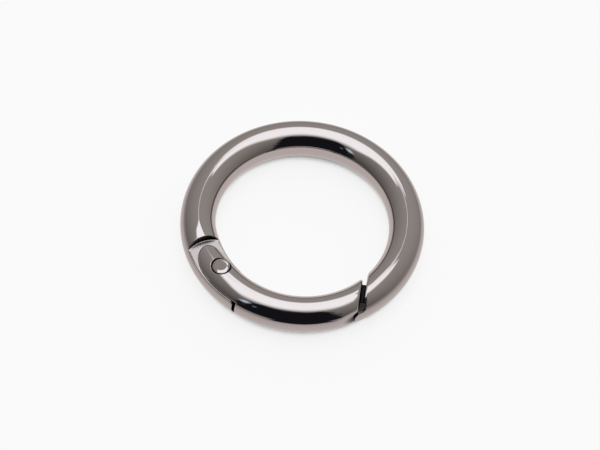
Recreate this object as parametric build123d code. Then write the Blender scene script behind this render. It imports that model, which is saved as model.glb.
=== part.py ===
from build123d import *
import math
import os

# A round spring-gate ring lying flat. Origin at the ring's centre, +Z square to the ring.
# Angles are in degrees, counterclockwise from +X seen from above. Lengths are in millimetres.

# Ring
INNER_DIAMETER = 25.0           # hole of the closed ring
SECTION_DIAMETER = 5.1          # thickness of the round section
HINGE_SWELL = 0.32              # extra thickness on the inner side at the hinge
SWELL_PEAK_ANGLE = 210.0
SWELL_BODY_SPREAD = 27.0        # degrees from the peak back to the plain body
SWELL_GATE_SPREAD = 74.0        # degrees from the peak on to the plain gate
SECTION_STEP = 6.0              # degrees between the sections that the swell is drawn through

# Hinge
RIVET_ANGLE = 223.6
RIVET_INSET = 0.5               # rivet axis inwards of the section's middle
TONGUE_THICKNESS = 2.5          # flat tongue of the body, between the gate's cheeks
TONGUE_ROUNDING = 0.55          # upper and lower edges of its end
CHEEK_CLEARANCE = 0.1           # each side of the tongue
STEP_SETBACK = 0.945            # along the ring, back from the rivet to the hollow step's centre
STEP_RADIUS = 4.7
STEP_FOOT_RADIUS = 0.35         # hollow corner between the step and the tongue
HEEL_LENGTH = 4.73              # along the ring, from the rivet on to the tongue's end
HEEL_GAP = 0.3                  # tongue's end to the gate's shoulder
SHANK_DIAMETER = 1.7
SHANK_CLEARANCE = 0.05          # radial, in the tongue
HEAD_DIAMETER = 2.45
HEAD_FLAT = 1.2                 # diameter of the head's flat middle
HEAD_HEIGHT = 0.75
HEAD_DROP = 0.14                # of the head's rounded rim
HEAD_SUNK = 0.15                # top of the head under the crest of the section
HEAD_CLEARANCE = 0.22           # radial, in its recess
RECESS_ROUNDING = 0.1           # upper edge of the recess

# Gate
TAIL_START = 0.37               # along the ring, ahead of the rivet: the round tail narrows from here
TAIL_GAP = 0.3                  # tail's end to the step, at the cheek's inner face
TAIL_BLUNTNESS = 4.2            # higher is squarer
TAIL_INSET = 0.3                # lean of the tail's end towards the inner side
TAIL_SECTIONS = 9

# Spring
SPRING_DIAMETER = 1.7           # outside of the coil
SPRING_WIRE = 0.3
SPRING_WIRE_SIDES = 8           # the wire is drawn with flat sides
SPRING_TURNS = 6.0
SPRING_LENGTH = 7.0             # with the gate closed
SPRING_OFFSET = 1.3             # coil axis inwards of the rivet axis
SPRING_SEAT = 1.75              # tongue's shoulder ahead of the rivet axis
SPRING_CLEARANCE = 0.12         # radial, in its bore
SPRING_END_GAP = 0.02

# Latch
LATCH_ANGLE = 310.0             # the gate's end face crosses the section's middle here
NOSE_FACE_GAP = 0.6             # gate face to nose face
BEVEL_INSET = 0.42              # where it begins, in from the ring's outer surface
BEVEL_ANGLE = 219.5             # direction of the bevel, outwards
BEVEL_GAP = 0.2
LIP_OVERLAP = 0.4               # blunt end of the nose's lip, back past the gate's face
RELIEF_DEPTH = 0.32
RELIEF_START = 0.825            # outwards of the section's middle
TIP_ROUNDING = 0.3              # outline of the gate's end
NOSE_ROUNDING = 0.2             # outline of the nose's face
CATCH_THICKNESS = 1.8           # flat catch on the gate's tip
CATCH_LENGTH = 1.525            # past the gate's face
CATCH_INNER = 2.2               # its sides, inwards and outwards of the section's middle
CATCH_OUTER = 0.825
CATCH_ROOT = 0.5                # length that is buried in the gate
CATCH_ROUNDING = 0.35
CATCH_CLEARANCE = 0.12          # in the nose's pocket, above, below and outside
POCKET_END_CLEARANCE = 0.25     # past the catch's end, all along its swing

# Derived sizes
SECTION_RADIUS = SECTION_DIAMETER / 2
RING_RADIUS = INNER_DIAMETER / 2 + SECTION_RADIUS
TONGUE_HALF = TONGUE_THICKNESS / 2
SLOT_HALF = TONGUE_HALF + CHEEK_CLEARANCE
BEYOND = RING_RADIUS + 2 * SECTION_DIAMETER     # a length that reaches past the ring
SHANK_RADIUS = SHANK_DIAMETER / 2
HEAD_RADIUS = HEAD_DIAMETER / 2
RECESS_RADIUS = HEAD_RADIUS + HEAD_CLEARANCE
BORE_RADIUS = SPRING_DIAMETER / 2 + SPRING_CLEARANCE
SWELL_START = SWELL_PEAK_ANGLE - SWELL_BODY_SPREAD
SWELL_END = SWELL_PEAK_ANGLE + SWELL_GATE_SPREAD
CATCH_HALF = CATCH_THICKNESS / 2
CHEEK_END = TAIL_START + STEP_SETBACK + STEP_RADIUS - TAIL_GAP
# share of the tail's length at which it is only as high as the slot
CHEEK_SHARE = (1 - (SLOT_HALF / SECTION_RADIUS) ** 2) ** (1 / TAIL_BLUNTNESS)
TAIL_LENGTH = CHEEK_END / CHEEK_SHARE


def polar(radius, angle, height=0.0):
    turn = math.radians(angle)
    return Vector(radius * math.cos(turn), radius * math.sin(turn), height)


def run_angle(length):
    """Degrees that a length along the ring takes."""
    return math.degrees(length / RING_RADIUS)


STEP_ANGLE = RIVET_ANGLE - run_angle(STEP_SETBACK)
HEEL_ANGLE = RIVET_ANGLE + run_angle(HEEL_LENGTH)
TAIL_ANGLE = RIVET_ANGLE + run_angle(TAIL_START)
RIVET = polar(RING_RADIUS - RIVET_INSET, RIVET_ANGLE)
LATCH = polar(RING_RADIUS, LATCH_ANGLE)
NOSE_FACE_X = LATCH.X + NOSE_FACE_GAP
BEVEL_START_Y = -math.sqrt((RING_RADIUS + SECTION_RADIUS - BEVEL_INSET) ** 2 - LATCH.X**2)
ROUGH_NOSE_ANGLE = LATCH_ANGLE - 360 - run_angle(SECTION_DIAMETER)       # before the cuts
ROUGH_TIP_ANGLE = LATCH_ANGLE + run_angle(SECTION_DIAMETER)
# x runs along the gate, square to the rivet, and y runs inwards to the ring's centre.
HINGE = Plane(origin=RIVET, x_dir=polar(1, RIVET_ANGLE + 90), z_dir=(0, 0, 1))
# x runs outwards through the tongue's end, and y runs along the gate.
HEEL = Plane(origin=(0, 0, 0), x_dir=polar(1, HEEL_ANGLE), z_dir=(0, 0, 1))


def swell(angle):
    """Extra thickness on the ring's inner side: a smooth rise over the hinge."""
    away = angle - SWELL_PEAK_ANGLE
    spread = SWELL_GATE_SPREAD if away > 0 else SWELL_BODY_SPREAD
    if abs(away) >= spread:
        return 0.0
    return HINGE_SWELL * math.cos(math.pi / 2 * away / spread) ** 2


def across(radius, angle):
    """Plane square to the ring's run: x outwards, origin at a radius."""
    return Plane(origin=polar(radius, angle), x_dir=polar(1, angle), z_dir=polar(1, angle + 90))


def section(angle, size=1.0, inset=0.0):
    """Oval section of the ring, thicker on its inner side over the hinge."""
    extra = swell(angle)
    oval = Ellipse(size * (SECTION_RADIUS + extra / 2), size * SECTION_RADIUS)
    return across(RING_RADIUS - extra / 2 - inset, angle) * oval


def sections(start, end):
    count = math.ceil((end - start) / SECTION_STEP)
    return [section(start + (end - start) * i / count) for i in range(count + 1)]


def plain_tube(start, end):
    """Stretch of the ring with its plain round section, its seam underneath."""
    circle = across(RING_RADIUS, start) * Rot(0, 0, 90) * Circle(SECTION_RADIUS)
    return revolve(circle, Axis.Z, end - start)


def tail_sections():
    """Sections of the gate's bullet-shaped tail, from its end to the full size."""
    result = []
    for i in range(TAIL_SECTIONS):
        share = math.cos(math.pi / 2 * (i + 1) / (TAIL_SECTIONS + 1))
        size = math.sqrt(1 - share**TAIL_BLUNTNESS)
        back = run_angle(share * TAIL_LENGTH)
        result.append(section(TAIL_ANGLE - back, size, TAIL_INSET * share**2))
    return result


def upright(face, half_height):
    return extrude(face, half_height, both=True)


def behind_heel(gap):
    """Plan of all that lies behind the tongue's end, or behind a line ahead of it."""
    return HEEL * Pos(BEYOND / 2, gap - BEYOND / 2) * Rectangle(BEYOND, BEYOND)


def height_at_rivet():
    """Height of the ring's surface on the rivet axis."""
    extra = swell(RIVET_ANGLE)
    offset = extra / 2 - RIVET_INSET
    return SECTION_RADIUS * math.sqrt(1 - (offset / (SECTION_RADIUS + extra / 2)) ** 2)


HEAD_TOP = height_at_rivet() - HEAD_SUNK
HEAD_SEAT = HEAD_TOP - HEAD_HEIGHT


def hinge_tongue():
    """Flat tongue that holds the rivet, with a shoulder that the spring presses on."""
    notch_y = SPRING_OFFSET - BORE_RADIUS
    notch = HINGE * Pos(SPRING_SEAT + BEYOND / 2, notch_y + BEYOND / 2) * Rectangle(BEYOND, BEYOND)
    tongue = upright(behind_heel(0) - notch, TONGUE_HALF)
    end_edges = []
    for height in (-TONGUE_HALF, TONGUE_HALF):
        end_edges.append(tongue.edges().sort_by_distance(polar(RING_RADIUS, HEEL_ANGLE, height))[0])
    return fillet(end_edges, TONGUE_ROUNDING)


def hinge_space():
    """What the body leaves free for the gate: a round hollow and all ahead of it."""
    reach = 2 * SECTION_DIAMETER
    ahead = Rot(0, 0, STEP_ANGLE) * Pos(BEYOND / 2, reach / 2) * Rectangle(BEYOND, reach)
    hollow = Pos(*polar(RING_RADIUS, STEP_ANGLE)) * Circle(STEP_RADIUS)
    above = Pos(0, 0, TONGUE_HALF) * extrude(hollow + ahead, SECTION_DIAMETER)
    foot = above.edges().filter_by(GeomType.CIRCLE).group_by(Axis.Z)[0]
    above = fillet(foot, STEP_FOOT_RADIUS)
    return above + above.mirror(Plane.XY) + (upright(ahead, TONGUE_HALF) - hinge_tongue())


def rivet_bore(radius):
    return Pos(*RIVET) * Cylinder(radius, 2 * SECTION_DIAMETER)


def bevel_point(gap, x):
    """Point of the bevel's line, moved off the gate by a gap, at a given x."""
    turn = math.radians(BEVEL_ANGLE)
    start_x = LATCH.X - gap * math.sin(turn)
    start_y = BEVEL_START_Y + gap * math.cos(turn)
    return (x, start_y + (x - start_x) * math.tan(turn))


def nose_space():
    """Plan of what the body leaves free at its nose, for the gate's tip."""
    relief_x = NOSE_FACE_X + RELIEF_DEPTH
    relief_y = LATCH.Y - RELIEF_START
    lip_x = LATCH.X - LIP_OVERLAP
    return make_face(
        Polyline(
            (NOSE_FACE_X, 0),
            (NOSE_FACE_X, relief_y),
            (relief_x, relief_y),
            bevel_point(BEVEL_GAP, relief_x),
            bevel_point(BEVEL_GAP, lip_x),
            (lip_x, -BEYOND),
            (0, -BEYOND),
            (0, 0),
            close=True,
        )
    )


def beyond_tip():
    """Plan of all that lies past the gate's end face and its bevel."""
    return make_face(
        Polyline(
            (LATCH.X, 0),
            bevel_point(0, LATCH.X),
            bevel_point(0, 0),
            (BEYOND, -BEYOND),
            (BEYOND, 0),
            close=True,
        )
    )


def swing_disc(gap):
    """Plan of all that the catch's end sweeps inside, plus a gap."""
    end = LATCH + Vector(CATCH_LENGTH, (CATCH_INNER - CATCH_OUTER) / 2)
    return Pos(*RIVET) * Circle((end - RIVET).length + gap)


def catch():
    """Flat catch that stands out of the gate's tip and enters the nose."""
    length = CATCH_ROOT + 2 * CATCH_LENGTH
    width = CATCH_INNER + CATCH_OUTER
    centre = Pos(LATCH.X - CATCH_ROOT + length / 2, LATCH.Y - CATCH_OUTER + width / 2)
    outline = centre * Rectangle(length, width) & swing_disc(0)
    tip = outline.vertices().sort_by(Axis.X)[-2:]
    return upright(fillet(tip, CATCH_ROUNDING), CATCH_HALF)


def pocket():
    """Pocket in the nose, open to its face and to the ring's inner side."""
    depth = CATCH_OUTER + CATCH_CLEARANCE - LATCH.Y
    reach = BEYOND - LATCH.X
    window = Pos(LATCH.X + reach / 2, -depth / 2) * Rectangle(reach, depth)
    outline = window & swing_disc(POCKET_END_CLEARANCE)
    return upright(outline, CATCH_HALF + CATCH_CLEARANCE)


def make_body():
    plain_end = SWELL_START - SECTION_STEP
    tube = plain_tube(ROUGH_NOSE_ANGLE, plain_end) + loft(sections(plain_end, HEEL_ANGLE + SECTION_STEP))
    blank = tube - upright(nose_space(), SECTION_DIAMETER)
    at_face = blank.edges().filter_by_position(Axis.X, NOSE_FACE_X - 0.01, NOSE_FACE_X + 0.01)
    blank = fillet(at_face.filter_by(GeomType.BSPLINE), NOSE_ROUNDING)
    return blank - hinge_space() - pocket() - rivet_bore(SHANK_RADIUS + SHANK_CLEARANCE)


def tip_outline(blank):
    """Edges round the gate's end face and its bevel, without the corner between the two."""
    flats = blank.faces().filter_by(GeomType.PLANE)
    ends = [face for face in flats if (face.center() - LATCH).length < SECTION_DIAMETER]
    edges = [edge for face in ends for edge in face.edges()]
    return [edge for edge in edges if sum(edge.is_same(other) for other in edges) == 1]


def is_recess_rim(edge):
    """Whether an edge is where a head's recess opens on the gate's surface."""
    points = [edge @ share for share in (0.1, 0.4, 0.7)]
    off = [abs(math.hypot(point.X - RIVET.X, point.Y - RIVET.Y) - RECESS_RADIUS) for point in points]
    return max(off) < 0.01 and abs(points[0].Z) > HEAD_SEAT + 0.01


def make_gate():
    plain_start = SWELL_END + SECTION_STEP
    shaped_end = loft(tail_sections() + sections(TAIL_ANGLE, plain_start))
    tube = shaped_end + plain_tube(plain_start, ROUGH_TIP_ANGLE)
    blank = tube - upright(beyond_tip(), SECTION_DIAMETER)
    blank = fillet(tip_outline(blank), TIP_ROUNDING)
    slot = upright(behind_heel(HEEL_GAP), SLOT_HALF)
    bore = HINGE * Pos(SPRING_SEAT, SPRING_OFFSET) * Rot(0, 90, 0) * Cylinder(
        BORE_RADIUS, SPRING_LENGTH, align=(Align.CENTER, Align.CENTER, Align.MIN)
    )
    recess = Cylinder(
        RECESS_RADIUS, SECTION_DIAMETER, align=(Align.CENTER, Align.CENTER, Align.MIN)
    )
    upper = Pos(RIVET.X, RIVET.Y, HEAD_SEAT) * recess
    lower = Pos(RIVET.X, RIVET.Y, -HEAD_SEAT) * Rot(180, 0, 0) * recess
    shaped = blank + catch() - slot - bore - upper - lower
    rims = [edge for edge in shaped.edges() if is_recess_rim(edge)]
    return fillet(rims, RECESS_ROUNDING) - rivet_bore(SHANK_RADIUS)


def make_rivet():
    """Rivet with a flat head at each end, rounded down at its rim."""
    rim = (HEAD_RADIUS, HEAD_TOP - HEAD_DROP)
    half = make_face(
        Polyline((0, 0), (SHANK_RADIUS, 0), (SHANK_RADIUS, HEAD_SEAT), (HEAD_RADIUS, HEAD_SEAT), rim)
        + TangentArc((HEAD_FLAT / 2, HEAD_TOP), rim, tangent=(1, 0))
        + Polyline((HEAD_FLAT / 2, HEAD_TOP), (0, HEAD_TOP), (0, 0))
    )
    upper = revolve(Plane.XZ * half, Axis.Z)
    return Pos(*RIVET) * (upper + upper.mirror(Plane.XY))


def make_spring():
    """Compression spring between the tongue's shoulder and the bottom of the gate's bore."""
    height = SPRING_LENGTH - 2 * SPRING_END_GAP - SPRING_WIRE
    radius = (SPRING_DIAMETER - SPRING_WIRE) / 2
    path = Helix(height / SPRING_TURNS, height, radius)
    wire = Plane(origin=path @ 0, z_dir=path % 0) * RegularPolygon(SPRING_WIRE / 2, SPRING_WIRE_SIDES)
    coil = sweep(wire, path, is_frenet=True)
    start = SPRING_SEAT + SPRING_END_GAP + SPRING_WIRE / 2
    return HINGE * Pos(start, SPRING_OFFSET) * Rot(0, 90, 0) * coil


if __name__ == "__main__":
    os.makedirs("parts", exist_ok=True)
    export_step(make_body(), "parts/ring_body.step")
    export_step(make_gate(), "parts/gate.step")
    export_step(make_rivet(), "parts/hinge_rivet.step")
    export_step(make_spring(), "parts/gate_spring.step")
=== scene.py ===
import math

import bpy
import numpy as np
from mathutils import Matrix, Vector


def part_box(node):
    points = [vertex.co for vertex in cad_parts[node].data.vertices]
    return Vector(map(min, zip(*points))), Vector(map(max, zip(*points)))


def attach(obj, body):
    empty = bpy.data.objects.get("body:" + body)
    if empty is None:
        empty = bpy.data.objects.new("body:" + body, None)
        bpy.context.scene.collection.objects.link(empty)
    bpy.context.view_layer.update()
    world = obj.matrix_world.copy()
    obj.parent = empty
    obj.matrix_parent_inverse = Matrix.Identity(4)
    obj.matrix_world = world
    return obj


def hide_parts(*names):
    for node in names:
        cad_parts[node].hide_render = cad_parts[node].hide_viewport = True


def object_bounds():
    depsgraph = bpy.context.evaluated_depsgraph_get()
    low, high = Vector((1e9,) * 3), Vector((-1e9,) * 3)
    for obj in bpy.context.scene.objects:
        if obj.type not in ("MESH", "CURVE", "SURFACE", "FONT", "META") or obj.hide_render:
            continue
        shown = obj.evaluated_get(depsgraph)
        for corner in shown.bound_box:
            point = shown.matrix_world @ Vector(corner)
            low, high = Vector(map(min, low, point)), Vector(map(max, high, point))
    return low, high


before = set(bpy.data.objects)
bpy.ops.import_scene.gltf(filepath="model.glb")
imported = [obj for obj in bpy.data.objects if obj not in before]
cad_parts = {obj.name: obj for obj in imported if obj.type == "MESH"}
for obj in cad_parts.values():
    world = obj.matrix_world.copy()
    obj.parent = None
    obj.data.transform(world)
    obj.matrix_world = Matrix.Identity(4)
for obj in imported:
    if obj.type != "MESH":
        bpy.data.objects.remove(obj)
cad_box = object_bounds()

# ---- camera
VIEW_AZIMUTH = math.radians(-87)
VIEW_ELEVATION = math.radians(57.26)
VIEW_ROLL = math.radians(-4.47)
VIEW_DISTANCE = 0.567
VIEW_LENS = 236.2          # mm, on a 36 mm sensor
VIEW_SHIFT = -0.0038

# ---- studio
FLOOR_SIZE = 2.0
OPENNESS_SAMPLES = 8

# ---- sizes in millimetres and angles in degrees, as in the part's source
SECTION_RADIUS = 1000 * (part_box("ring_body")[1][2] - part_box("ring_body")[0][2]) / 2
RING_RADIUS = 1000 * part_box("ring_body")[1][0] - SECTION_RADIUS
HINGE_SWELL = 0.32
SWELL_PEAK_ANGLE = 210.0
SWELL_BODY_SPREAD = 27.0
SWELL_GATE_SPREAD = 74.0
RIVET_ANGLE = 223.6
RIVET_INSET = 0.5
TONGUE_HALF = 1.25
TONGUE_ROUNDING = 0.55
SLOT_HALF = TONGUE_HALF + 0.1
STEP_SETBACK = 0.945
STEP_RADIUS = 4.7
STEP_FOOT_RADIUS = 0.22
FACET_SLOPE = math.radians(7)     # small flat on the crest, down to the step's edge
FACET_DEPTH = 0.06
FACET_ROUNDING = 0.3
FACET_REACH = 30.0         # degrees, further than the flat itself
HEEL_LENGTH = 4.73
HEEL_GAP = 0.45
CHEEK_ROUNDING = 0.16
SHANK_RADIUS = 0.85
SHANK_CLEARANCE = 0.05
HEAD_RADIUS = 1.225
HEAD_FLAT_RADIUS = 0.72
HEAD_DROP = 0.1
HEAD_LEAN = 0.08           # slope of the hammered heads, down towards -X
HEAD_SUNK = 0.11
HEAD_HEIGHT = 0.75
RECESS_RADIUS = HEAD_RADIUS + 0.22
RECESS_ROUNDING = 0.1
TAIL_START = 0.37
TAIL_GAP = 0.3
TAIL_BLUNTNESS = 2.7
TAIL_SETBACK = 0.85        # the upright end stands back by this from the foot of the round one
TAIL_HALF_WIDTH = 2.3
TAIL_WIDENING = 2.0        # of the half width, over a tail's length back along the gate
TAIL_FALL = 0.7           # of the round skin, towards the tail's end
TAIL_ROUNDING = 0.25
TAIL_INSET = 0.3
BORE_RADIUS = 0.97
BORE_LENGTH = 7.0
BORE_OFFSET = 1.3
BORE_START = 1.75
LATCH_ANGLE = 310.0
NOSE_FACE_GAP = 0.6
BEVEL_INSET = 0.42
BEVEL_ANGLE = 219.5
BEVEL_GAP = 0.2
LIP_OVERLAP = 0.4
RELIEF_DEPTH = 0.32
RELIEF_START = 0.825
TIP_ROUNDING = 0.42
NOSE_ROUNDING = 0.2
NOSE_ANGLE = -48.0
NOSE_TAPER = 0.35          # off the nose's inner side
NOSE_TAPER_SPREAD = 14.0
TIP_ROLL = 0.05            # how far the skin falls off towards the gate's end face
TIP_ROLL_LENGTH = 0.9
CATCH_HALF = 0.9
CATCH_LENGTH = 1.525
CATCH_INNER = 2.2
CATCH_OUTER = 0.825
CATCH_ROOT = 0.5
CATCH_ROUNDING = 0.35
CATCH_CLEARANCE = 0.12
CATCH_CROWN_RADIUS = 1.5
POCKET_END_CLEARANCE = 0.25
EDGE = 0.07                # rounding of the edges that are left sharp in the solids
CELL = 0.1                 # of the fine meshes
FINE_CELL = 0.05           # in height, where the cheeks meet the tongue
FINE_LEVELS = (1.1, 1.6)
LONG_CELL = 0.65           # along the plain stretches
# from angle to angle, with the length of a cell: nose, plain ring and hinge; hinge, plain ring and tip
BODY_STRETCHES = ((-60, -31, CELL), (-31, 199, LONG_CELL), (199, 243.5, CELL))
GATE_STRETCHES = ((196, 248, CELL), (248, 299, LONG_CELL), (299, 321, CELL))
LEAST_SLOPE = 0.3          # so that a distance stays finite in the middle of a section
GRADIENT_STEP = 0.01
SETTLING_ROUNDS = 4        # that move the corners onto the surface
RIM_STEPS = 8
RIM_EDGE = 0.02            # bright edge of a rivet's head, above its side, which is painted dark as shade
SHARP_ANGLE = math.radians(35)
TURNED_SIDES = 96


def run_angle(length):
    return math.degrees(length / RING_RADIUS)


def polar(radius, angle):
    return radius * math.cos(math.radians(angle)), radius * math.sin(math.radians(angle))


RIVET = polar(RING_RADIUS - RIVET_INSET, RIVET_ANGLE)
STEP_ANGLE = RIVET_ANGLE - run_angle(STEP_SETBACK)
HEEL_ANGLE = RIVET_ANGLE + run_angle(HEEL_LENGTH)
TAIL_ANGLE = RIVET_ANGLE + run_angle(TAIL_START)
LATCH = polar(RING_RADIUS, LATCH_ANGLE)
NOSE_FACE_X = LATCH[0] + NOSE_FACE_GAP
CHEEK_END = TAIL_START + STEP_SETBACK + STEP_RADIUS - TAIL_GAP
TAIL_LENGTH = CHEEK_END - TAIL_SETBACK
BEVEL_START_Y = -math.sqrt((RING_RADIUS + SECTION_RADIUS - BEVEL_INSET) ** 2 - LATCH[0] ** 2)


# ---- solids as distances: negative inside, for arrays of x, y and z
def round_max(a, b, radius):
    """What two solids share, with the edge between them rounded."""
    corner = np.hypot(np.maximum(radius + a, 0), np.maximum(radius + b, 0))
    return np.minimum(-radius, np.maximum(a, b)) + corner


def round_min(a, b, radius):
    return -round_max(-a, -b, radius)


def most(*distances):
    return np.maximum.reduce(distances)


def least(*distances):
    return np.minimum.reduce(distances)


def side(x, y, angle):
    """Distance past the radial line at an angle."""
    c, s = polar(1, angle)
    return y * c - x * s


def round_section(x, y, z, first_angle):
    """The ring's skin, which swells at the hinge and narrows at the nose."""
    angle = first_angle + (np.degrees(np.arctan2(y, x)) - first_angle) % 360
    away = angle - SWELL_PEAK_ANGLE
    spread = np.where(away > 0, SWELL_GATE_SPREAD, SWELL_BODY_SPREAD)
    extra = HINGE_SWELL * np.cos(np.pi / 2 * np.clip(away / spread, -1, 1)) ** 2
    if first_angle < 0:
        extra -= NOSE_TAPER * np.cos(np.pi / 2 * np.clip((angle - NOSE_ANGLE) / NOSE_TAPER_SPREAD, 0, 1)) ** 2
    out = np.hypot(x, y) - RING_RADIUS + extra / 2
    wide = SECTION_RADIUS + extra / 2
    value = (out / wide) ** 2 + (z / SECTION_RADIUS) ** 2 - 1
    return value / np.maximum(2 * np.hypot(out / wide**2, z / SECTION_RADIUS**2), LEAST_SLOPE)


def tail_share(x, y):
    """0 where the tail starts, beside the rivet, 1 at its end."""
    angle = np.degrees(np.arctan2(y, x)) % 360
    return np.radians(TAIL_ANGLE - angle) * RING_RADIUS / TAIL_LENGTH


def tail_outline(x, y):
    """Distance outside the bullet-shaped plan of the gate's tail."""
    share = tail_share(x, y)
    out = np.hypot(x, y) - RING_RADIUS + HINGE_SWELL / 2 + TAIL_INSET * np.maximum(share, 0) ** 2
    half = TAIL_HALF_WIDTH - TAIL_WIDENING * np.minimum(share, 0)
    share = np.clip(share, 0, 1.3)
    value = (out / half) ** 2 + share**TAIL_BLUNTNESS - 1
    along = TAIL_BLUNTNESS * share ** (TAIL_BLUNTNESS - 1) / TAIL_LENGTH
    return value / np.maximum(np.hypot(2 * out / half**2, along), LEAST_SLOPE)


def past_bevel(x, y, gap):
    """Distance outwards past the bevel's line, moved off the gate by a gap."""
    c, s = polar(1, BEVEL_ANGLE)
    return (y - BEVEL_START_Y) * c - (x - LATCH[0]) * s - gap


def swing(x, y, gap):
    """Distance outside the circle that the catch's end sweeps, plus a gap."""
    reach = math.dist(RIVET, (LATCH[0] + CATCH_LENGTH, LATCH[1] + (CATCH_INNER - CATCH_OUTER) / 2))
    return np.hypot(x - RIVET[0], y - RIVET[1]) - reach - gap


def hinge_place(x, y):
    """Lengths along the gate and inwards, from the rivet."""
    c, s = polar(1, RIVET_ANGLE)
    dx, dy = x - RIVET[0], y - RIVET[1]
    return dy * c - dx * s, -dx * c - dy * s


def body_skin(x, y, z):
    """The body's skin with a small flat above the hinge's step."""
    skin = round_section(x, y, z, -90)
    turn = np.degrees(np.arctan2(y, x)) % 360 - STEP_ANGLE + run_angle(STEP_RADIUS)
    ahead = np.radians(turn) * RING_RADIUS
    over = np.abs(z) - SECTION_RADIUS + FACET_DEPTH
    facet = over * math.cos(FACET_SLOPE) + ahead * math.sin(FACET_SLOPE)
    return round_max(skin, np.where(np.abs(turn) < FACET_REACH, facet, -1), FACET_ROUNDING)


def gate_skin(x, y, z):
    """The gate's skin, which falls off towards both its ends."""
    roll = np.clip(1 - (LATCH[0] - x) / TIP_ROLL_LENGTH, 0, 1)
    fall = np.clip(tail_share(x, y), 0, 1.3)
    return round_section(x, y, z, 90) + TIP_ROLL * roll**2 + TAIL_FALL * fall**1.5


def body_solid(x, y, z):
    """The body: hollow step and tongue at the hinge; face, relief, lip and pocket at the nose."""
    level = np.abs(z)
    along, inwards = hinge_place(x, y)
    notch = most(BORE_START - along, BORE_OFFSET - BORE_RADIUS - inwards)
    tongue = round_max(side(x, y, HEEL_ANGLE), level - TONGUE_HALF, TONGUE_ROUNDING)
    tongue = round_max(tongue, -notch, EDGE)
    step_x, step_y = polar(RING_RADIUS, STEP_ANGLE)
    hollow = np.hypot(x - step_x, y - step_y) - STEP_RADIUS
    behind = least(most(-hollow, side(x, y, STEP_ANGLE)), -x)
    skin = body_skin(x, y, z)
    solid = round_max(skin, round_min(behind, tongue, STEP_FOOT_RADIUS), EDGE)
    # nose: face, relief and lip
    elsewhere = least(x, -y)
    stem = least(NOSE_FACE_X + RELIEF_DEPTH - x, most(NOSE_FACE_X - x, LATCH[1] - RELIEF_START - y))
    lip = most(-past_bevel(x, y, BEVEL_GAP), LATCH[0] - LIP_OVERLAP - x)
    by_face = np.clip((y - LATCH[1] + RELIEF_START) / NOSE_ROUNDING, 0, 1)
    solid = round_max(solid, least(stem, lip, elsewhere), EDGE + (NOSE_ROUNDING - EDGE) * by_face)
    floor_y = LATCH[1] - CATCH_OUTER - CATCH_CLEARANCE
    past_end = swing(x, y, POCKET_END_CLEARANCE)
    pocket = most(LATCH[0] - x, floor_y - y, past_end, level - CATCH_HALF - CATCH_CLEARANCE)
    bore = np.hypot(x - RIVET[0], y - RIVET[1]) - SHANK_RADIUS - SHANK_CLEARANCE
    return most(round_max(solid, -pocket, EDGE), -bore)


def gate_solid(x, y, z):
    """The gate: fork, tail, recesses and spring bore at the hinge; bevelled tip and catch."""
    level = np.abs(z)
    along, inwards = hinge_place(x, y)
    tip = round_max(x - LATCH[0], past_bevel(x, y, 0), EDGE)
    solid = round_max(gate_skin(x, y, z), tip, TIP_ROUNDING)
    solid = round_max(solid, tail_outline(x, y), TAIL_ROUNDING)
    slot = most(side(x, y, HEEL_ANGLE) - HEEL_GAP, level - SLOT_HALF)
    solid = round_max(solid, -slot, CHEEK_ROUNDING)
    from_rivet = np.hypot(x - RIVET[0], y - RIVET[1])
    solid = round_max(solid, -most(from_rivet - RECESS_RADIUS, HEAD_SEAT - level), RECESS_ROUNDING)
    past_end = along - BORE_START - BORE_LENGTH
    spring_bore = most(np.hypot(inwards - BORE_OFFSET, z) - BORE_RADIUS, BORE_START - along, past_end)
    solid = most(solid, -spring_bore, SHANK_RADIUS - from_rivet)
    width = most(LATCH[1] - CATCH_OUTER - y, y - LATCH[1] - CATCH_INNER, LATCH[0] - CATCH_ROOT - x)
    crown = (x - LATCH[0] - NOSE_FACE_GAP / 2) ** 2 / (2 * CATCH_CROWN_RADIUS)
    catch = round_max(round_max(width, swing(x, y, 0), CATCH_ROUNDING), level - CATCH_HALF + crown, EDGE)
    return round_min(solid, catch, EDGE)


def stations(*stretches):
    """Angles of the mesh's cross-cuts: (start, end, length of a cell) for each stretch."""
    angles = []
    for start, end, cell in stretches:
        count = math.ceil((end - start) / run_angle(cell))
        angles += [start + (end - start) * i / count for i in range(count)]
    return angles + [stretches[-1][1]]


def slope_of(solid, points):
    """Gradient of a solid's distance."""
    parts = []
    for axis in range(3):
        step = np.zeros(3)
        step[axis] = GRADIENT_STEP
        parts.append((solid(*(points + step).T) - solid(*(points - step).T)) / (2 * GRADIENT_STEP))
    return np.stack(parts, 1)


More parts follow.
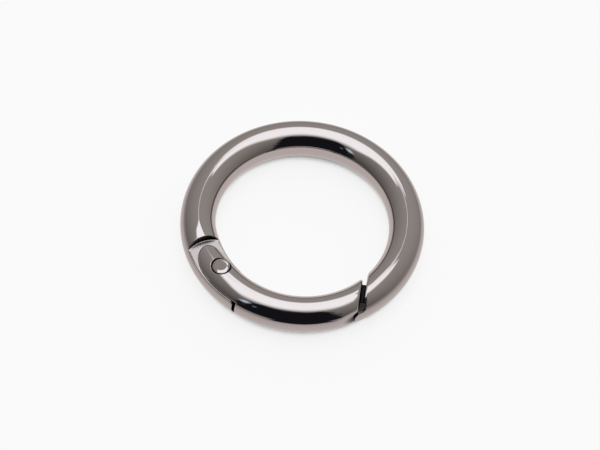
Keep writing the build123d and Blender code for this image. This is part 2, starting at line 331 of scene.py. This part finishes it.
def surface(solid, angles):
    """Corners and four-sided faces round a solid, on a grid bent along the ring: one corner
    for each cell that the surface crosses, moved onto the surface."""
    top = SECTION_RADIUS + 1.5 * CELL
    fine_from, fine_to = FINE_LEVELS
    low, middle = np.arange(0, fine_from, CELL), np.arange(fine_from, fine_to, FINE_CELL)
    upper = np.concatenate([low, middle, np.arange(fine_to, top, CELL), [top]])
    ups = np.concatenate([-upper[:0:-1], upper])
    outs = np.arange(-SECTION_RADIUS - HINGE_SWELL - 1.5 * CELL, SECTION_RADIUS + 2 * CELL, CELL)
    turn, out, up = np.meshgrid(np.radians(angles), RING_RADIUS + outs, ups, indexing="ij")
    grid = np.stack([out * np.cos(turn), out * np.sin(turn), up], -1)
    value = solid(grid[..., 0], grid[..., 1], grid[..., 2])
    cells = [n - 1 for n in value.shape]
    axes = np.eye(3, dtype=int)
    crossings, faces = [], []
    for a in range(3):
        b, c = axes[a - 2], axes[a - 1]
        inside = value < 0
        low = np.argwhere(np.delete(inside, -1, a) != np.delete(inside, 0, a))
        high = low + axes[a]
        start, end = value[tuple(low.T)], value[tuple(high.T)]
        share = (start / (start - end))[:, None]
        crossings.append(grid[tuple(low.T)] * (1 - share) + grid[tuple(high.T)] * share)
        around = [low, low - b, low - b - c, low - c]
        ring = np.stack([np.ravel_multi_index(tuple(cell.T), cells) for cell in around], 1)
        leaving = start < 0
        faces.append(np.where(leaving[:, None], ring[:, ::-1], ring))
    faces = np.concatenate(faces)
    crossings = np.repeat(np.concatenate(crossings), 4, axis=0)
    used, corner = np.unique(faces.reshape(-1), return_inverse=True)
    corner = corner.reshape(-1)
    count = np.bincount(corner)
    points = np.stack([np.bincount(corner, crossings[:, axis]) / count for axis in range(3)], 1)
    for _ in range(SETTLING_ROUNDS):
        slope = slope_of(solid, points)
        move = solid(*points.T)[:, None] * slope / np.maximum((slope**2).sum(1), 0.1)[:, None]
        points = points - np.clip(move, -CELL, CELL)
    return points, corner.reshape(-1, 4)


def height_at_rivet():
    """Height of the gate's skin over the rivet's axis."""
    extra = HINGE_SWELL * math.cos(math.pi / 2 * (RIVET_ANGLE - SWELL_PEAK_ANGLE) / SWELL_GATE_SPREAD) ** 2
    offset = (extra / 2 - RIVET_INSET) / (SECTION_RADIUS + extra / 2)
    return SECTION_RADIUS * math.sqrt(1 - offset**2)


HEAD_TOP = height_at_rivet() - HEAD_SUNK
HEAD_SEAT = HEAD_TOP - HEAD_HEIGHT


def add_piece(name, body, solid, skin, angles, material):
    """Fine mesh that stands for a node, with each corner's own normal and how deep in a cut it lies."""
    points, faces = surface(solid, angles)
    mesh = bpy.data.meshes.new(name)
    mesh.from_pydata((points * 0.001).tolist(), [], faces.tolist())
    mesh.polygons.foreach_set("use_smooth", [True] * len(faces))
    slope = slope_of(solid, points)
    slope /= np.linalg.norm(slope, axis=1)[:, None]
    mesh.normals_split_custom_set_from_vertices(slope.tolist())
    depth = mesh.attributes.new("depth", "FLOAT", "POINT")
    depth.data.foreach_set("value", -skin(*points.T))
    mesh.materials.append(material)
    piece = bpy.data.objects.new(name + "_look", mesh)
    bpy.context.scene.collection.objects.link(piece)
    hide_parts(name)
    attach(piece, body)
    return piece


def add_camera():
    data = bpy.data.cameras.new("camera")
    camera = bpy.data.objects.new("camera", data)
    bpy.context.scene.collection.objects.link(camera)
    level = math.cos(VIEW_ELEVATION)
    x, y = level * math.cos(VIEW_AZIMUTH), level * math.sin(VIEW_AZIMUTH)
    back = Vector((x, y, math.sin(VIEW_ELEVATION)))
    turn = back.to_track_quat("Z", "Y").to_matrix().to_4x4()
    roll = Matrix.Rotation(-VIEW_ROLL, 4, "Z")
    camera.matrix_world = Matrix.Translation(back * VIEW_DISTANCE) @ turn @ roll
    data.lens = VIEW_LENS
    data.shift_x = VIEW_SHIFT
    data.clip_start = 0.01
    bpy.context.scene.camera = camera


class Nodes:
    """Short hand for building a node tree."""

    def __init__(self, tree):
        self.tree = tree
        tree.nodes.clear()

    def add(self, kind, **inputs):
        node = self.tree.nodes.new(kind)
        for name, value in inputs.items():
            self.put(node.inputs[name.replace("_", " ")], value)
        return node

    def put(self, socket, value):
        if isinstance(value, bpy.types.NodeSocket):
            self.tree.links.new(value, socket)
        else:
            socket.default_value = value

    def math(self, operation, *values):
        node = self.tree.nodes.new("ShaderNodeMath")
        node.operation = operation
        for socket, value in zip(node.inputs, values):
            self.put(socket, value)
        return node.outputs[0]

    def ramp(self, value, low, high):
        """0 below low, 1 above high, smooth between."""
        node = self.tree.nodes.new("ShaderNodeMapRange")
        node.interpolation_type = "SMOOTHSTEP"
        self.put(node.inputs["Value"], value)
        node.inputs["From Min"].default_value = low
        node.inputs["From Max"].default_value = high
        return node.outputs[0]

    def openness(self, distance):
        """How much of the surroundings within a distance is free: 1 in the open, 0 deep in a gap."""
        node = self.add("ShaderNodeAmbientOcclusion", Distance=distance)
        node.samples = OPENNESS_SAMPLES
        return node.outputs["AO"]

    def roughness(self, place, scale):
        """Fractal noise about 0."""
        noise = self.add("ShaderNodeTexNoise", Vector=place, Scale=scale, Detail=4.0, Roughness=0.7)
        return self.math("SUBTRACT", noise.outputs["Fac"], 0.5)

    def mix(self, factor, a, b):
        node = self.tree.nodes.new("ShaderNodeMix")
        node.data_type = "RGBA"
        self.put(node.inputs[0], factor)
        self.put(node.inputs[6], a)
        self.put(node.inputs[7], b)
        return node.outputs[2]


# ---- light tent: what the polished metal mirrors, by direction. A direction is written as
# u = x / z and v = y / z, its place on a ceiling one unit above the ring, or as azimuth and elevation.
WALL_TINT = (1.03, 1.0, 0.965)
WALL_LIGHT = 0.24           # at the horizon, to the side
WALL_TOWARDS_RIGHT = 0.06
WALL_TOWARDS_BACK = 0.19
WALL_TOWARDS_TOP = 0.15
LEAST_HEIGHT = 0.02         # of a direction's z, so that u and v stay finite
PANEL_LIGHT = (1.70, 1.78, 1.86, 1)
PANEL_ENDS = (-0.17, 1.05)  # in v
PANEL_END_SOFT = 0.22
PANEL_WAIST_V = 0.643
WAIST_SOFT = 0.01
WAIST_SLOPE = 0.9           # growth of the half width right beside the waist
# the half width away from the waist: growth of its slope, then start and growth of its limit
LEFT_FRONT = (4.0, 0.22, 0.30)
LEFT_BACK = (1.5, 0.09, 0.22)
RIGHT_FRONT = (6.0, 0.26, 0.06)
RIGHT_BACK = (6.0, 0.19, 0.15)
RIGHT_SPARE = 0.012         # the right side stays open by this at the waist
LEFT_SOFT = 0.25            # growth of the edges' softness away from the waist
RIGHT_SOFT = 0.35
SOFT_REACH = 0.35           # from the waist, where that growth ends
LEAST_SOFT = 0.01
EDGE_FADE = (-1.0, 0.6)     # in units of the softness, from dark to light
OPENING_LIGHT = (0.012, 0.013, 0.018, 1)
OPENING_SIDES = (-0.80, 0.60)    # azimuth in radians, 0 at the front, more towards the right
OPENING_TOP = (78, 64)           # elevation in degrees: begins and is full
OPENING_SIDE_SOFT = 0.05
OPENING_SIDE_NOISE = 0.5         # raggedness of its edges, in the same units
OPENING_TOP_NOISE = 22.0
OPENING_GRAIN = 7.0
GLINT_LIGHT = (0.75, 1.0, 1.2, 1)
# daylight in the opening: sides in azimuth, their softness, elevations and strength
GLINTS = (((-0.86, -0.76), 0.04, (37, 52), 1.0), ((-0.64, -0.61), 0.03, (38, 43), 0.6))
GLINT_TOP_SOFT = 3.0

# ---- floor, as the metal mirrors it and as the camera sees it
FLOOR_LIGHT = (0.84, 0.80, 0.79, 1)      # near the ring
FAR_FLOOR_LIGHT = (0.38, 0.37, 0.36, 1)
PAINTED_CONTACT_SHADOW = (0.03, 0.03, 0.03, 1)
TOUCHED = (0.0, 0.5)        # openness: painted contact shadow begins and is light again
POOL_FADE = (0.015, 0.045)  # metres from the ring's centre
DARK_FRONT = (0.033, 0.039)  # metres ahead of the ring's centre: begins and is full
DARK_FRONT_NOISE = 0.016
DARK_FRONT_GRAIN = 120.0
DARK_FRONT_LEAN = 0.15      # towards the right, per metre ahead
DARK_FRONT_SPREAD = (0.45, 0.32)  # to each side, per metre ahead: begins and is full
FLOOR_COLOR = (0.8, 0.8, 0.8, 1)         # for the light that it throws back
SHADOWED_PAPER = (1.7, 1.7, 1.7, 1)      # the small share of the camera's paper that takes a shadow
PAPER_WHITE = (0.97, 0.97, 0.97, 1)
# painted shadow on the paper, by how open each point is: where the ring touches it and in the ring's gaps
PAINTED_GAP_SHADOW = (0.01, 0.01, 0.01, 1)
PAPER_SHARE = 0.85          # how much of what the camera sees takes no real shadow, only the painted one
CONTACT_REACH = 0.002       # metres
CONTACT = (0.05, 0.4)       # openness: painted contact shadow begins and is white again
GAP_REACH = 0.006           # metres
GAP = (0.12, 0.32)


def add_world():
    """Light tent for what the metal mirrors, plain white for the camera."""
    world = bpy.data.worlds.new("light_tent")
    bpy.context.scene.world = world
    world.use_nodes = True
    n = Nodes(world.node_tree)
    direction = n.tree.nodes.new("ShaderNodeVectorRotate")
    direction.rotation_type = "Z_AXIS"
    direction.inputs["Angle"].default_value = -VIEW_AZIMUTH - math.pi / 2
    n.put(direction.inputs["Vector"], n.add("ShaderNodeTexCoord").outputs["Generated"])
    direction = direction.outputs[0]
    x, y, z = n.add("ShaderNodeSeparateXYZ", Vector=direction).outputs
    height = n.math("MAXIMUM", z, LEAST_HEIGHT)
    u = n.math("DIVIDE", x, height)
    v = n.math("DIVIDE", y, height)

    def window(value, low, high, soft):
        rise = n.ramp(value, low - soft, low + soft)
        fall = n.ramp(value, high + soft, high - soft)
        return n.math("MULTIPLY", rise, fall)

    level = n.math("MULTIPLY_ADD", x, WALL_TOWARDS_RIGHT, WALL_LIGHT)
    level = n.math("MULTIPLY_ADD", y, WALL_TOWARDS_BACK, level)
    level = n.math("MULTIPLY_ADD", z, WALL_TOWARDS_TOP, level)
    walls = n.add("ShaderNodeCombineXYZ", X=n.math("MULTIPLY", level, WALL_TINT[0]),
                  Y=n.math("MULTIPLY", level, WALL_TINT[1]), Z=n.math("MULTIPLY", level, WALL_TINT[2]))
    # dark opening at the front with ragged edges, and glints of daylight on its left
    azimuth = n.math("ARCTAN2", x, n.math("MULTIPLY", y, -1.0))
    elevation = n.math("MULTIPLY", n.math("ARCSINE", z), 180 / math.pi)
    rough = n.roughness(direction, OPENING_GRAIN)
    ragged_side = n.math("MULTIPLY_ADD", rough, OPENING_SIDE_NOISE, azimuth)
    ragged_top = n.math("MULTIPLY_ADD", rough, OPENING_TOP_NOISE, elevation)
    wide = window(ragged_side, *OPENING_SIDES, OPENING_SIDE_SOFT)
    under_top = n.ramp(ragged_top, *OPENING_TOP)
    light = n.mix(n.math("MULTIPLY", wide, under_top), walls.outputs[0], OPENING_LIGHT)
    for sides, soft, heights, strength in GLINTS:
        glint = n.math("MULTIPLY", window(azimuth, *sides, soft), window(elevation, *heights, GLINT_TOP_SOFT))
        light = n.mix(n.math("MULTIPLY", glint, strength), light, GLINT_LIGHT)
    # panel overhead, which narrows to a waist where the ring's crest mirrors it
    waist = n.math("ABSOLUTE", n.math("SUBTRACT", v, PANEL_WAIST_V))
    behind = n.ramp(v, PANEL_WAIST_V - WAIST_SOFT, PANEL_WAIST_V + WAIST_SOFT)

    def half_width(opening_out, start, growth):
        limit = n.math("MULTIPLY_ADD", waist, growth, start)
        slope = n.math("MULTIPLY_ADD", waist, opening_out, WAIST_SLOPE)
        return n.math("MINIMUM", n.math("MULTIPLY", waist, slope), limit)

    def panel_edge(front, back, across, soft):
        width = n.math("MULTIPLY", half_width(*back), behind)
        width = n.math("MULTIPLY_ADD", half_width(*front), n.math("SUBTRACT", 1.0, behind), width)
        soft = n.math("MULTIPLY_ADD", n.math("MINIMUM", waist, SOFT_REACH), soft, LEAST_SOFT)
        return n.ramp(n.math("DIVIDE", n.math("SUBTRACT", width, across), soft), *EDGE_FADE)

    left = panel_edge(LEFT_FRONT, LEFT_BACK, n.math("MULTIPLY", u, -1.0), LEFT_SOFT)
    right = panel_edge(RIGHT_FRONT, RIGHT_BACK, n.math("SUBTRACT", u, RIGHT_SPARE), RIGHT_SOFT)
    panel = n.math("MULTIPLY", n.math("MULTIPLY", left, right), window(v, *PANEL_ENDS, PANEL_END_SOFT))
    light = n.mix(panel, light, PANEL_LIGHT)
    shade = n.add("ShaderNodeBackground", Color=light)
    white = n.add("ShaderNodeBackground", Color=(1, 1, 1, 1))
    ray = n.add("ShaderNodeLightPath").outputs["Is Camera Ray"]
    mixed = n.tree.nodes.new("ShaderNodeMixShader")
    n.put(mixed.inputs[0], ray)
    n.put(mixed.inputs[1], shade.outputs[0])
    n.put(mixed.inputs[2], white.outputs[0])
    n.add("ShaderNodeOutputWorld", Surface=mixed.outputs[0])


def add_floor():
    """White paper that the ring lies on."""
    mesh = bpy.data.meshes.new("floor")
    h = FLOOR_SIZE / 2
    z = cad_box[0][2]
    mesh.from_pydata([(-h, -h, z), (h, -h, z), (h, h, z), (-h, h, z)], [], [(0, 1, 2, 3)])
    floor = bpy.data.objects.new("floor", mesh)
    bpy.context.scene.collection.objects.link(floor)
    material = bpy.data.materials.new("pale_floor")
    material.use_nodes = True
    n = Nodes(material.node_tree)
    path = n.add("ShaderNodeLightPath")
    near = n.openness(CONTACT_REACH)
    color = n.mix(path.outputs["Is Camera Ray"], FLOOR_COLOR, SHADOWED_PAPER)
    diffuse = n.add("ShaderNodeBsdfDiffuse", Color=color)
    # what the camera sees: white, with a faint shadow, and painted shadow where the ring touches and in its
    # gaps
    open_to_light = n.math("MULTIPLY", n.ramp(near, *CONTACT), n.ramp(n.openness(GAP_REACH), *GAP))
    paper = n.mix(open_to_light, PAINTED_GAP_SHADOW, PAPER_WHITE)
    # what the metal mirrors: a painted pool of light round the ring, painted shadow where the ring touches,
    # and painted ragged darkness past the front edge
    place = n.add("ShaderNodeTexCoord").outputs["Object"]
    x, y, _ = n.add("ShaderNodeSeparateXYZ", Vector=place).outputs
    away = n.math("SQRT", n.math("ADD", n.math("MULTIPLY", x, x), n.math("MULTIPLY", y, y)))
    pool = n.mix(n.ramp(away, *POOL_FADE), FLOOR_LIGHT, FAR_FLOOR_LIGHT)
    ahead = n.math("MULTIPLY", y, -1.0)
    beside = n.math("ABSOLUTE", n.math("MULTIPLY_ADD", ahead, -DARK_FRONT_LEAN, x))
    spread = n.ramp(n.math("DIVIDE", beside, ahead), *DARK_FRONT_SPREAD)
    ragged = n.math("MULTIPLY_ADD", n.roughness(place, DARK_FRONT_GRAIN), DARK_FRONT_NOISE, ahead)
    pool = n.mix(n.math("MULTIPLY", n.ramp(ragged, *DARK_FRONT), spread), pool, OPENING_LIGHT)
    # painted contact shadow in the mirrored floor where the ring touches it
    pool = n.mix(n.ramp(near, *TOUCHED), PAINTED_CONTACT_SHADOW, pool)
    glow = n.add("ShaderNodeEmission", Color=n.mix(path.outputs["Is Glossy Ray"], paper, pool))
    share = n.math("MULTIPLY_ADD", path.outputs["Is Camera Ray"], PAPER_SHARE, path.outputs["Is Glossy Ray"])
    mixed = n.tree.nodes.new("ShaderNodeMixShader")
    n.put(mixed.inputs[0], share)
    n.put(mixed.inputs[1], diffuse.outputs[0])
    n.put(mixed.inputs[2], glow.outputs[0])
    n.add("ShaderNodeOutputMaterial", Surface=mixed.outputs[0])
    mesh.materials.append(material)


def add_rivet(material):
    """Rivet with a flat head at each end, rounded down at its rim, turned as one mesh."""
    drop_radius = ((HEAD_RADIUS - HEAD_FLAT_RADIUS) ** 2 + HEAD_DROP**2) / (2 * HEAD_DROP)
    profile = [(HEAD_FLAT_RADIUS / 2, HEAD_TOP, 0.0)]
    for i in range(RIM_STEPS + 1):
        past = (HEAD_RADIUS - HEAD_FLAT_RADIUS) * i / RIM_STEPS
        height = HEAD_TOP - drop_radius + math.sqrt(drop_radius**2 - past**2)
        profile.append((HEAD_FLAT_RADIUS + past, height, 0.0))
    rim = profile[-1][1]
    # the head's side and seat count as deep in a cut, so that they take the plating's painted shade
    profile += [(HEAD_RADIUS, rim - RIM_EDGE, 1.0), (HEAD_RADIUS, HEAD_SEAT, 1.0)]
    profile.append((SHANK_RADIUS, HEAD_SEAT, 1.0))
    profile += [(r, -z, depth) for r, z, depth in reversed(profile)]
    corners, depths, faces = [], [], []
    for r, z, depth in profile:
        for i in range(TURNED_SIDES):
            c, s = polar(r, 360 * i / TURNED_SIDES)
            lean = -HEAD_LEAN * c if abs(z) > HEAD_SEAT else 0
            height = z - lean * z / HEAD_TOP
            corners.append(((RIVET[0] + c) * 0.001, (RIVET[1] + s) * 0.001, height * 0.001))
            depths.append(depth)
    for row in range(len(profile) - 1):
        for i in range(TURNED_SIDES):
            j = (i + 1) % TURNED_SIDES
            a, b = row * TURNED_SIDES, (row + 1) * TURNED_SIDES
            faces.append((a + i, b + i, b + j, a + j))
    for row, turn in ((0, 1), (len(profile) - 1, -1)):
        middle = len(corners)
        corners.append((RIVET[0] * 0.001, RIVET[1] * 0.001, profile[row][1] * 0.001))
        depths.append(0.0)
        for i in range(TURNED_SIDES):
            j = (i + turn) % TURNED_SIDES
            faces.append((row * TURNED_SIDES + i, row * TURNED_SIDES + j, middle))
    mesh = bpy.data.meshes.new("hinge_rivet")
    mesh.from_pydata(corners, [], faces)
    mesh.polygons.foreach_set("use_smooth", [True] * len(faces))
    mesh.attributes.new("depth", "FLOAT", "POINT").data.foreach_set("value", depths)
    mesh.set_sharp_from_angle(angle=SHARP_ANGLE)
    mesh.materials.append(material)
    piece = bpy.data.objects.new("hinge_rivet_look", mesh)
    bpy.context.scene.collection.objects.link(piece)
    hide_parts("hinge_rivet")
    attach(piece, "gate")


# ---- metals
GUNMETAL = (0.5, 0.45, 0.435)
CLOUDED = (0.44, 0.42, 0.44)      # what the plating's colour drifts towards
CLOUDING = 0.08                   # the most that it drifts
CLOUD_GRAIN = 260.0
CLOUD_DULLNESS = 0.02
WAVE_GRAIN = 420.0                # slow waves in the polish
WAVE_STRENGTH = 0.25
WAVE_HEIGHT = 0.00002             # metres
# painted shade: near black colour put down in the cuts and in narrow gaps, where shade falls
PAINTED_SHADE_COLOR = (0.014, 0.012, 0.015)
CUT_DEPTH = (0.1, 0.35)           # millimetres under the skin: dullness and painted shade begin and are full
STEEP = (0.95, 0.6)               # upright part of the normal: painted shade in a cut begins and is full
GAP_SHADE_REACH = 0.0008             # metres, for the painted shade in narrow gaps
GAP_SHADE_OPENNESS = (0.75, 0.35)             # openness: painted shade begins and is full
POLISH = 0.035                    # roughness of the open skin
CUT_DULLNESS = 0.22               # added to it in the cuts
WIRE_DARK = (0.42, 0.41, 0.40, 1)
WIRE_BRIGHT = (0.56, 0.55, 0.53, 1)
WIRE_ROUGHNESS = (0.2, 0.4)
WIRE_GRAIN = 3000.0
WIRE_GRAIN_STRENGTH = 0.3
WIRE_GRAIN_HEIGHT = 0.00002


def plated(name, bright_flats):
    """Mirror-bright plating, a little clouded and wavy, duller down in the cuts, with painted shade that
    makes its cuts and narrow gaps near black.
    """
    material = bpy.data.materials.new(name)
    material.use_nodes = True
    n = Nodes(material.node_tree)
    attribute = n.tree.nodes.new("ShaderNodeAttribute")
    attribute.attribute_name = "depth"
    cut = n.ramp(attribute.outputs["Fac"], *CUT_DEPTH)
    gap_shade = n.ramp(n.openness(GAP_SHADE_REACH), *GAP_SHADE_OPENNESS)
    normal = n.add("ShaderNodeNewGeometry").outputs["Normal"]
    up = n.math("ABSOLUTE", n.add("ShaderNodeSeparateXYZ", Vector=normal).outputs["Z"])
    cut_shade = n.math("MULTIPLY", cut, n.ramp(up, *STEEP)) if bright_flats else cut
    place = n.add("ShaderNodeTexCoord").outputs["Object"]
    cloud = n.add("ShaderNodeTexNoise", Vector=place, Scale=CLOUD_GRAIN, Detail=2.0).outputs["Fac"]
    base = n.mix(n.math("MULTIPLY", cloud, CLOUDING), (*GUNMETAL, 1), (*CLOUDED, 1))
    # painted shade in the cuts and gaps; on the body, level flats in the cuts are left out of it
    base = n.mix(n.math("MAXIMUM", cut_shade, gap_shade), base, (*PAINTED_SHADE_COLOR, 1))
    swell = n.add("ShaderNodeTexNoise", Vector=place, Scale=WAVE_GRAIN, Detail=1.0).outputs["Fac"]
    wave = n.add("ShaderNodeBump", Strength=WAVE_STRENGTH, Distance=WAVE_HEIGHT, Height=swell).outputs[0]
    shader = n.add("ShaderNodeBsdfPrincipled", Metallic=1.0, Base_Color=base, Normal=wave)
    rough = n.math("MULTIPLY_ADD", cloud, CLOUD_DULLNESS, POLISH)
    n.put(shader.inputs["Roughness"], n.math("MULTIPLY_ADD", cut, CUT_DULLNESS, rough))
    n.add("ShaderNodeOutputMaterial", Surface=shader.outputs[0])
    return material


def spring_steel():
    """Drawn wire: plain steel, a little uneven along its surface."""
    material = bpy.data.materials.new("spring_steel")
    material.use_nodes = True
    n = Nodes(material.node_tree)
    place = n.add("ShaderNodeTexCoord").outputs["Object"]
    grain = n.add("ShaderNodeTexNoise", Vector=place, Scale=WIRE_GRAIN, Detail=3.0).outputs["Fac"]
    color = n.mix(grain, WIRE_DARK, WIRE_BRIGHT)
    smooth, coarse = WIRE_ROUGHNESS
    rough = n.math("MULTIPLY_ADD", grain, coarse - smooth, smooth)
    bump = n.add("ShaderNodeBump", Strength=WIRE_GRAIN_STRENGTH, Distance=WIRE_GRAIN_HEIGHT, Height=grain)
    shader = n.add("ShaderNodeBsdfPrincipled", Metallic=1.0, Base_Color=color, Normal=bump.outputs[0])
    n.put(shader.inputs["Roughness"], rough)
    n.add("ShaderNodeOutputMaterial", Surface=shader.outputs[0])
    return material


add_camera()
add_world()
add_floor()
plate = plated("gunmetal", True)
gate_plate = plated("gate_gunmetal", False)
add_piece("ring_body", "frame", body_solid, body_skin, stations(*BODY_STRETCHES), plate)
add_piece("gate", "gate", gate_solid, gate_skin, stations(*GATE_STRETCHES), gate_plate)
add_rivet(gate_plate)
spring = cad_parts["gate_spring"]
spring.data.materials.clear()
spring.data.materials.append(spring_steel())

bpy.context.scene.view_settings.view_transform = "Standard"
